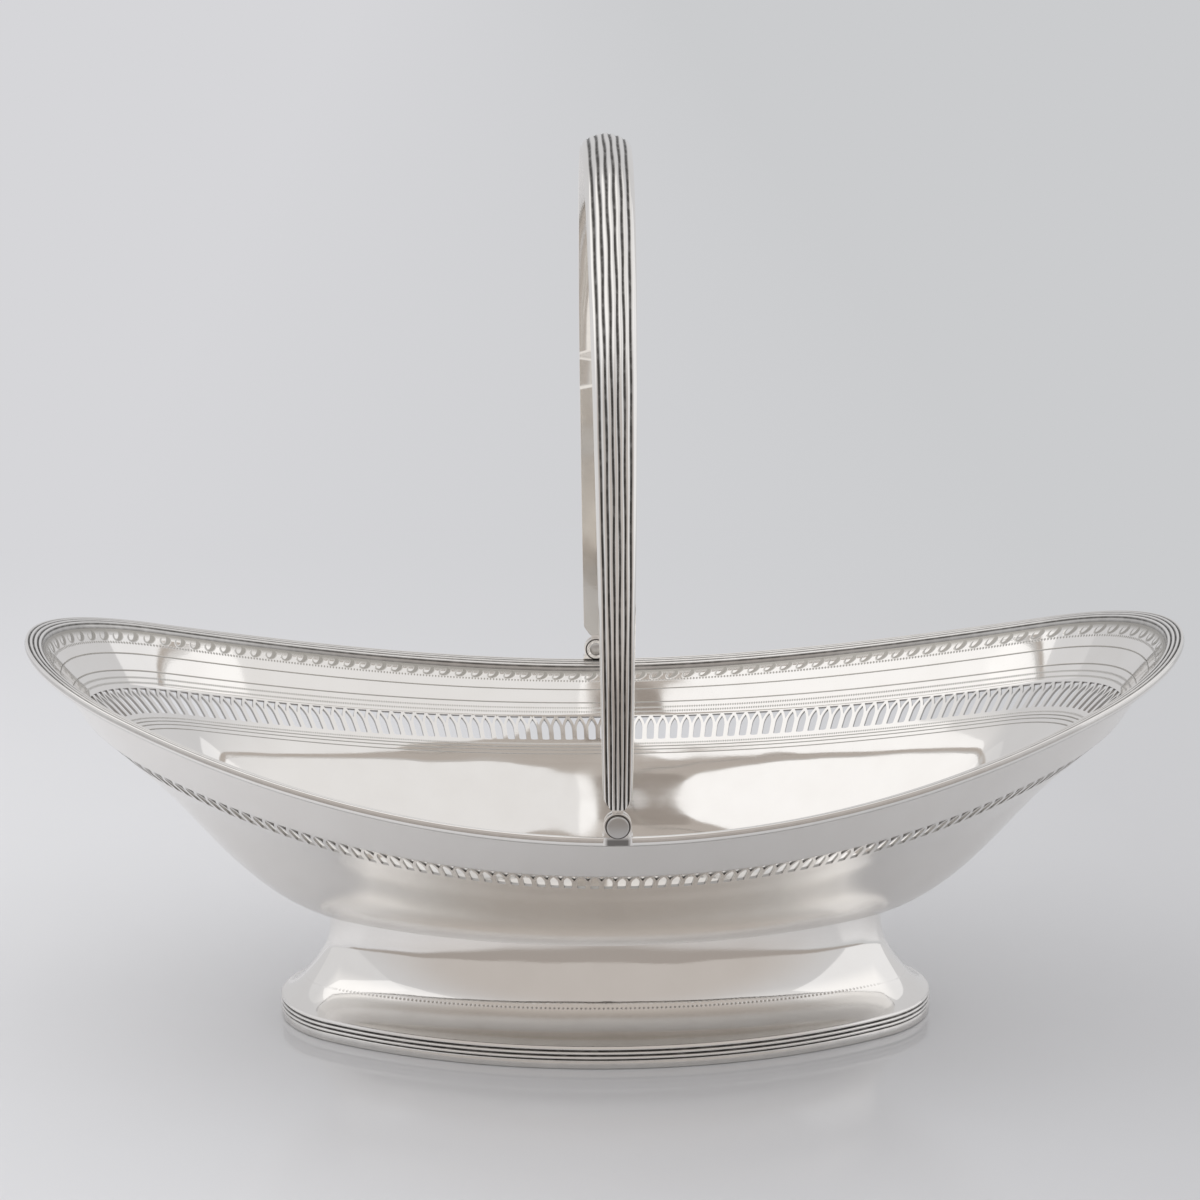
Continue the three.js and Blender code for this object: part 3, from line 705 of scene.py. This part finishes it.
def strap_section():
    """Share of the half width, share of the groove's depth (None on the flat inner face), tarnish. The
    inner face is seldom polished, and keeps a film of it."""
    section = [(strap_inner_share, None, inner_film), (-strap_inner_share, None, inner_film)]
    for reed in range(strap_reeds):
        for share, deep, darkening in reed_shape:
            across = -1 + 2 * (reed + share) / strap_reeds
            if reed == 0 and share < 0.5:
                deep, darkening = strap_shoulder * (1 - 2 * share) ** 2, 0
            if reed == strap_reeds - 1 and share > 0.5:
                deep, darkening = strap_shoulder * (2 * share - 1) ** 2, 0
            section.append((across, deep, darkening))
    return section + [(1, strap_shoulder, 0), (strap_inner_share, None, inner_film)]


def strap_point(along, point):
    """Along runs from 0 at the near end to 1 at the far end, in short steps at the chamfered ends."""
    across, deep = point[:2]
    # A long and a short wave run along the strap, and reach each reed at another place
    waver = sum(math.sin(along * wave + across * shift) for wave, shift in waver_waves)
    across += strap_waver * waver * (1 - across ** 2)
    climb = crown_height - strap_edge - strap_crown_width * strap_dome - strap_foot
    half_span = hinge_centre - (strap_edge + strap_tip_width * strap_dome) / 2
    chamfer_turn = math.asin(strap_chamfer / climb)
    end = min(along, 1 - along) * strap_steps
    if end < strap_end_steps:
        turn = chamfer_turn * end / strap_end_steps
    else:
        middle = (end - strap_end_steps) / (strap_steps - 2 * strap_end_steps)
        turn = chamfer_turn + (math.pi - 2 * chamfer_turn) * middle
    if along > 0.5:
        turn = math.pi - turn
    height = climb * math.sin(turn)
    half_width = (strap_end_width
                  + (strap_crown_width - strap_end_width) * height / (crown_height - strap_foot)) / 2
    chamfer = (strap_tip_width + (strap_end_width - strap_tip_width) * height / strap_chamfer) / 2
    if abs(across) * half_width > chamfer:
        across = math.copysign(chamfer / half_width, across)
        # The taper's filed edge is level, half way down the grooves
        if deep is not None:
            deep = chamfer_depth
    out = Vector((0, -climb * math.cos(turn), half_span * math.sin(turn))).normalized()
    lift = 0
    if deep is not None:
        lift = strap_edge + 2 * half_width * strap_dome * (1 - across ** 2) - strap_groove * deep
    inside = Vector((0, -half_span * math.cos(turn), strap_foot + height))
    return inside + out * lift + Vector((across * half_width, 0, 0))


handle = wrap_section("reeded_handle", strap_steps, strap_section(), strap_point)
bpy.ops.object.mode_set(mode="EDIT")
bpy.ops.mesh.select_all(action="SELECT")
bpy.ops.mesh.fill_holes(sides=0)
bpy.ops.mesh.select_all(action="SELECT")
bpy.ops.mesh.normals_make_consistent(inside=False)
bpy.ops.object.mode_set(mode="OBJECT")
bpy.ops.object.shade_smooth_by_angle(angle=reed_crease)
handle.data.materials.append(polished_silver(
    "reeded_handle_silver", hollows_and_shade=section_darkening, dark=strap_groove_grey))
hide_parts("handle_bow")
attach(handle, "handle")

# Hinges
# Each side has a bracket of two drilled ears on a saddle over the rim wire, and a flat tongue under the
# handle's end turns between them. They are cast silver, filed up, with softened edges.
pivot_height = 94.1
ear_edge = 0.4
tongue_edge = 0.15
edge_segments = 3
flat_limit = math.radians(1)
filed_crease = math.radians(35)
filed_roughness = 0.16
# The ring of painted shade round a pin's head, and the painted shade low on the brackets: where it starts
# and is full below the pivot, and where it starts to fade and ends to either side
ring_radius = 3.5
ring_reach = 0.35
low_shade_depths = (2.8, 4.2)
low_shade_sides = (2.9, 4)
low_shade_darkness = 0.85


def pivot_painted_shade(tree, film=0):
    """Painted shade in a ring round each pin's head and low on the brackets, darkest below the pivot. The
    film argument lays a painted dark reflection over the whole piece."""
    place = add_node(tree, "ShaderNodeTexCoord").outputs["Object"]
    centred = add_node(tree, "ShaderNodeVectorMath", {0: place, 1: (0, 0, pivot_height * mm)},
                       operation="SUBTRACT")
    across = add_node(tree, "ShaderNodeVectorMath", {0: centred.outputs["Vector"], 1: (1, 0, 1)},
                      operation="MULTIPLY")
    away = add_node(tree, "ShaderNodeVectorMath", {0: across.outputs["Vector"]}, operation="LENGTH")
    ring = near_line(tree, away.outputs["Value"], ring_radius * mm, ring_reach * mm)
    axes = add_node(tree, "ShaderNodeSeparateXYZ", {"Vector": centred.outputs["Vector"]})
    low = add_node(tree, "ShaderNodeMapRange", {
        "Value": axes.outputs["Z"], "From Min": -low_shade_depths[0] * mm, "From Max": -low_shade_depths[1] * mm,
        "To Min": 0, "To Max": 1})
    aside = add_node(tree, "ShaderNodeMath", {0: axes.outputs["X"]}, operation="ABSOLUTE")
    middle = add_node(tree, "ShaderNodeMapRange", {
        "Value": aside.outputs["Value"], "From Min": low_shade_sides[0] * mm, "From Max": low_shade_sides[1] * mm,
        "To Min": low_shade_darkness, "To Max": 0})
    low_shade = add_node(tree, "ShaderNodeMath", {
        0: low.outputs["Result"], 1: middle.outputs["Result"]}, operation="MULTIPLY")
    return deepest(tree, [ring, low_shade.outputs["Value"], film])


# Filed faces shine more softly than the polished sheet; painted shade rings the pins and darkens the
# brackets low down
fitting_silver = polished_silver("filed_silver_fittings", hollows_and_shade=pivot_painted_shade,
                                 roughness=filed_roughness)


def softened(node, name, edge):
    """The piece's plain solid with its flat faces cleaned up and its edges filed round."""
    piece = new_piece(name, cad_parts[node].data.copy())
    bpy.ops.object.mode_set(mode="EDIT")
    bpy.ops.mesh.select_all(action="SELECT")
    bpy.ops.mesh.remove_doubles(threshold=0.002 * mm)
    bpy.ops.mesh.dissolve_limited(angle_limit=flat_limit)
    bpy.ops.object.mode_set(mode="OBJECT")
    filed = piece.modifiers.new("filed", "BEVEL")
    filed.width = edge * mm
    filed.segments = edge_segments
    filed.limit_method = "ANGLE"
    filed.angle_limit = filed_crease
    bpy.ops.object.modifier_apply(modifier=filed.name)
    bpy.ops.object.shade_smooth_by_angle(angle=filed_crease)
    piece.data.materials.clear()
    piece.data.materials.append(fitting_silver)
    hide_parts(node)
    return piece


for side in ("near", "far"):
    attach(softened("hinge_bracket_" + side, "hinge_ears_" + side, ear_edge), "basket")
    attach(softened("handle_tongue_" + side, "hinge_tongue_" + side, tongue_edge), "handle")

# Hinge pins
# Each pin is turned silver: a flat disc of a head with a rounded edge outside, a plain shank through the
# ears, and an end that was hammered over inside.
# Painted dark reflection laid over the whole of each pin
pin_painted_reflection = 0.45
pin_head_radius = 3.3
pin_head_height = 1.1
pin_radius = 1.3
rivet_radius = 2.2
rivet_height = 0.9
ears_inside = 113.1
ears_outside = 117.6
pin_steps = 48
pin_crease = math.radians(40)
head_outside = ears_outside + pin_head_height
rivet_inside = ears_inside - rivet_height
# A pin's outline from its rivet's middle to its head's: radius and distance along the pivot
pin_profile = [
    (0, rivet_inside), (rivet_radius * 0.45, rivet_inside + 0.06), (rivet_radius * 0.8, rivet_inside + 0.3),
    (rivet_radius, ears_inside - 0.2), (rivet_radius, ears_inside), (pin_radius, ears_inside),
    (pin_radius, ears_outside), (pin_head_radius - 0.15, ears_outside),
    (pin_head_radius, ears_outside + 0.15), (pin_head_radius, head_outside - 0.5),
    (pin_head_radius - 0.1, head_outside - 0.25), (pin_head_radius - 0.3, head_outside - 0.08),
    (pin_head_radius - 0.6, head_outside - 0.02), (0, head_outside),
]


def pin_point(facing, turn, row):
    """A point of the outline, turned about the pivot. Facing is -1 for the near pin and 1 for the far."""
    radius, along = pin_profile[round(row)]
    angle = 2 * math.pi * turn
    return Vector((radius * math.cos(angle), facing * along, pivot_height + radius * math.sin(angle)))


# A painted dark reflection dulls the whole pin, on top of the painted shade round its head
pin_silver = polished_silver("painted_shade_silver_pins", hollows_and_shade=lambda tree: pivot_painted_shade(tree, pin_painted_reflection),
                             roughness=filed_roughness)
for side, facing in (("near", -1), ("far", 1)):
    pin = flat_sheet(pin_steps, list(range(len(pin_profile))))
    roll_up(pin, "pin_" + side, lambda turn, row: pin_point(facing, turn, row))
    bpy.ops.object.shade_smooth_by_angle(angle=pin_crease)
    pin.data.materials.append(pin_silver)
    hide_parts("pivot_pin_" + side)
    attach(pin, "basket")

# Table
# The basket stands on a pale glossy sheet, wide enough to reach past the picture's edges. Away from the
# basket it fades into the plain pale backdrop that the camera sees.
table_size = 24000
board_left = "#F8F8FA"
board_right = "#DADADC"
board_roughness = 0.13
tone_reach = 250
drift_size = 150
drift_share = 0.2
fade_start = 300
fade_end = 800
board_front = 330
room_front = 520
backdrop_left = "#D6D6D9"
backdrop_right = "#CBCCCE"
dim_room_grey = "#A59E99"

bpy.ops.mesh.primitive_plane_add(size=table_size * mm)
table = bpy.context.object
table.name = "table"
glossy_board = bpy.data.materials.new("pale_glossy_board")
glossy_board.use_nodes = True
tree = glossy_board.node_tree
tree.nodes.clear()
place = add_node(tree, "ShaderNodeTexCoord").outputs["Object"]
axes = add_node(tree, "ShaderNodeSeparateXYZ", {"Vector": place})
# The board is painted a little darker on the right, as painted shade, and its tone drifts
rightward = add_node(tree, "ShaderNodeMapRange", {
    "Value": axes.outputs["X"], "From Min": -tone_reach * mm,
    "From Max": tone_reach * mm}).outputs["Result"]
drift = add_node(tree, "ShaderNodeTexNoise", {
    "Vector": place, "Scale": 1 / (drift_size * mm), "Detail": 2})
tone = add_node(tree, "ShaderNodeMath", {0: drift.outputs["Fac"], 1: drift_share, 2: rightward},
                operation="MULTIPLY_ADD")
pale = add_node(tree, "ShaderNodeMix", {
    "Factor": tone.outputs["Value"], "A": linear(board_left), "B": linear(board_right)},
    data_type="RGBA")
board = add_node(tree, "ShaderNodeBsdfPrincipled", {
    "Base Color": pale.outputs["Result"], "Roughness": board_roughness})
# The backdrop is painted a little darker on the right, as painted shade
backdrop = add_node(tree, "ShaderNodeMix", {
    "Factor": rightward, "A": linear(backdrop_left), "B": linear(backdrop_right)}, data_type="RGBA")
glow = add_node(tree, "ShaderNodeEmission", {"Color": backdrop.outputs["Result"]})
# How far a point lies to the side or behind: straight in front of the basket the board doesn't fade
behind = add_node(tree, "ShaderNodeVectorMath", {0: place, 1: (-table_size * mm, 0, 0)},
                  operation="MAXIMUM")
away = add_node(tree, "ShaderNodeVectorMath", {0: behind.outputs["Vector"]}, operation="LENGTH")
fade = add_node(tree, "ShaderNodeMapRange", {
    "Value": away.outputs["Value"], "From Min": fade_start * mm, "From Max": fade_end * mm},
    interpolation_type="SMOOTHSTEP")
surface = add_node(tree, "ShaderNodeMixShader", {
    0: fade.outputs["Result"], 1: board.outputs["BSDF"], 2: glow.outputs["Emission"]})
# The silver sees no board past its front edge, but the dim room there
past_edge = add_node(tree, "ShaderNodeMapRange", {
    "Value": axes.outputs["Y"], "From Min": -board_front * mm, "From Max": -room_front * mm},
    interpolation_type="SMOOTHSTEP")
table_ray = add_node(tree, "ShaderNodeLightPath")
reflected_room = add_node(tree, "ShaderNodeMath", {
    0: past_edge.outputs["Result"], 1: table_ray.outputs["Is Glossy Ray"]}, operation="MULTIPLY")
dim_room = add_node(tree, "ShaderNodeEmission", {"Color": linear(dim_room_grey)})
surface = add_node(tree, "ShaderNodeMixShader", {
    0: reflected_room.outputs["Value"], 1: surface.outputs["Shader"], 2: dim_room.outputs["Emission"]})
add_node(tree, "ShaderNodeOutputMaterial", {"Surface": surface.outputs["Shader"]})
table.data.materials.append(glossy_board)

# Light
# A wide soft box hangs under a white ceiling, left of the middle, and a soft box stands on each side. The
# walls are grey, and warmer and dimmer behind the camera. The camera sees the pale backdrop all round.
wall_grey = "#D0D0D2"
front_wall_grey = "#C1BBB7"
ceiling_white = "#E9E8E8"
mean_room_grey = "#E5E5E6"
# Where the front wall and the ceiling start, by the Y and the Z of the way looked in
front_wall_edge = (-0.8, -0.3)
ceiling_edge = (0.35, 0.65)
ceiling_rise = 0.5
backdrop_blend = 0.1

world = bpy.data.worlds.new("studio")
bpy.context.scene.world = world
world.use_nodes = True
tree = world.node_tree
tree.nodes.clear()
way = add_node(tree, "ShaderNodeTexCoord").outputs["Generated"]
axes = add_node(tree, "ShaderNodeSeparateXYZ", {"Vector": way})
front = add_node(tree, "ShaderNodeMapRange", {
    "Value": axes.outputs["Y"], "From Min": front_wall_edge[0], "From Max": front_wall_edge[1],
    "To Min": 1, "To Max": 0}, interpolation_type="SMOOTHSTEP")
walls = add_node(tree, "ShaderNodeMix", {
    "Factor": front.outputs["Result"], "A": linear(wall_grey), "B": linear(front_wall_grey)},
    data_type="RGBA")
# The ceiling starts higher in front and behind than at the sides
front_or_back = add_node(tree, "ShaderNodeMath", {0: axes.outputs["Y"]}, operation="ABSOLUTE")
steepness = add_node(tree, "ShaderNodeMath", {
    0: front_or_back.outputs["Value"], 1: -ceiling_rise, 2: axes.outputs["Z"]},
    operation="MULTIPLY_ADD")
overhead = add_node(tree, "ShaderNodeMapRange", {
    "Value": steepness.outputs["Value"], "From Min": ceiling_edge[0], "From Max": ceiling_edge[1]},
    interpolation_type="SMOOTHSTEP")
mirrored = add_node(tree, "ShaderNodeMix", {
    "Factor": overhead.outputs["Result"], "A": walls.outputs["Result"], "B": linear(ceiling_white)},
    data_type="RGBA")
# Only mirror reflections see the room's uneven walls: the board is lit by their even mean
ray = add_node(tree, "ShaderNodeLightPath")
room = add_node(tree, "ShaderNodeMix", {
    "Factor": ray.outputs["Is Glossy Ray"], "A": linear(mean_room_grey), "B": mirrored.outputs["Result"]},
    data_type="RGBA")
# The backdrop that the camera sees is painted a little darker on the right, as painted shade
right_half = add_node(tree, "ShaderNodeMapRange", {
    "Value": axes.outputs["X"], "From Min": -backdrop_blend, "From Max": backdrop_blend})
far_backdrop = add_node(tree, "ShaderNodeMix", {
    "Factor": right_half.outputs["Result"], "A": linear(backdrop_left), "B": linear(backdrop_right)},
    data_type="RGBA")
seen = add_node(tree, "ShaderNodeMix", {
    "Factor": ray.outputs["Is Camera Ray"], "A": room.outputs["Result"],
    "B": far_backdrop.outputs["Result"]}, data_type="RGBA")
sky = add_node(tree, "ShaderNodeBackground", {"Color": seen.outputs["Result"], "Strength": 1})
add_node(tree, "ShaderNodeOutputWorld", {"Surface": sky.outputs["Background"]})


def soft_box(name, place, aim, width, height, brightness):
    """A plain rectangular soft box, in metres. A mirror shows its brightness on top of the room behind."""
    lamp = bpy.data.lights.new(name, "AREA")
    lamp.shape = "RECTANGLE"
    lamp.size = width
    lamp.size_y = height
    lamp.energy = brightness * math.pi * width * height
    box = bpy.data.objects.new(name, lamp)
    bpy.context.collection.objects.link(box)
    box.location = place
    box.rotation_euler = (Vector(aim) - Vector(place)).to_track_quat("-Z", "Y").to_euler()


soft_box("soft_box_over", place=(-0.9, -0.1, 1.4), aim=(-0.9, 0, 0.1),
         width=2, height=1.6, brightness=0.2)
soft_box("soft_box_right", place=(1.5, 0.2, 0.7), aim=(0, 0, 0.1),
         width=1.8, height=1.4, brightness=0.22)
soft_box("soft_box_left", place=(-1.5, 0.2, 0.7), aim=(0, 0, 0.1),
         width=1.8, height=1.4, brightness=0.07)

# Camera
# A long lens looks slightly down on the long side of the basket, a little from the left. Its angles are in
# radians and its places in metres.
view_turn = -0.03
view_rise = 0.215
view_distance = 1.25
view_target = Vector((0, 0, 0.1365))
lens_length = 117.28
film_width = 36
framing_shift = -0.0049
back = Vector((math.sin(view_turn) * math.cos(view_rise),
               -math.cos(view_turn) * math.cos(view_rise), math.sin(view_rise)))
lens = bpy.data.cameras.new("camera")
lens.lens = lens_length
lens.sensor_width = film_width
lens.shift_x = framing_shift
camera = bpy.data.objects.new("camera", lens)
bpy.context.collection.objects.link(camera)
camera.location = view_target + back * view_distance
camera.rotation_euler = back.to_track_quat("Z", "Y").to_euler()
bpy.context.scene.camera = camera

bpy.context.scene.view_settings.view_transform = "Standard"
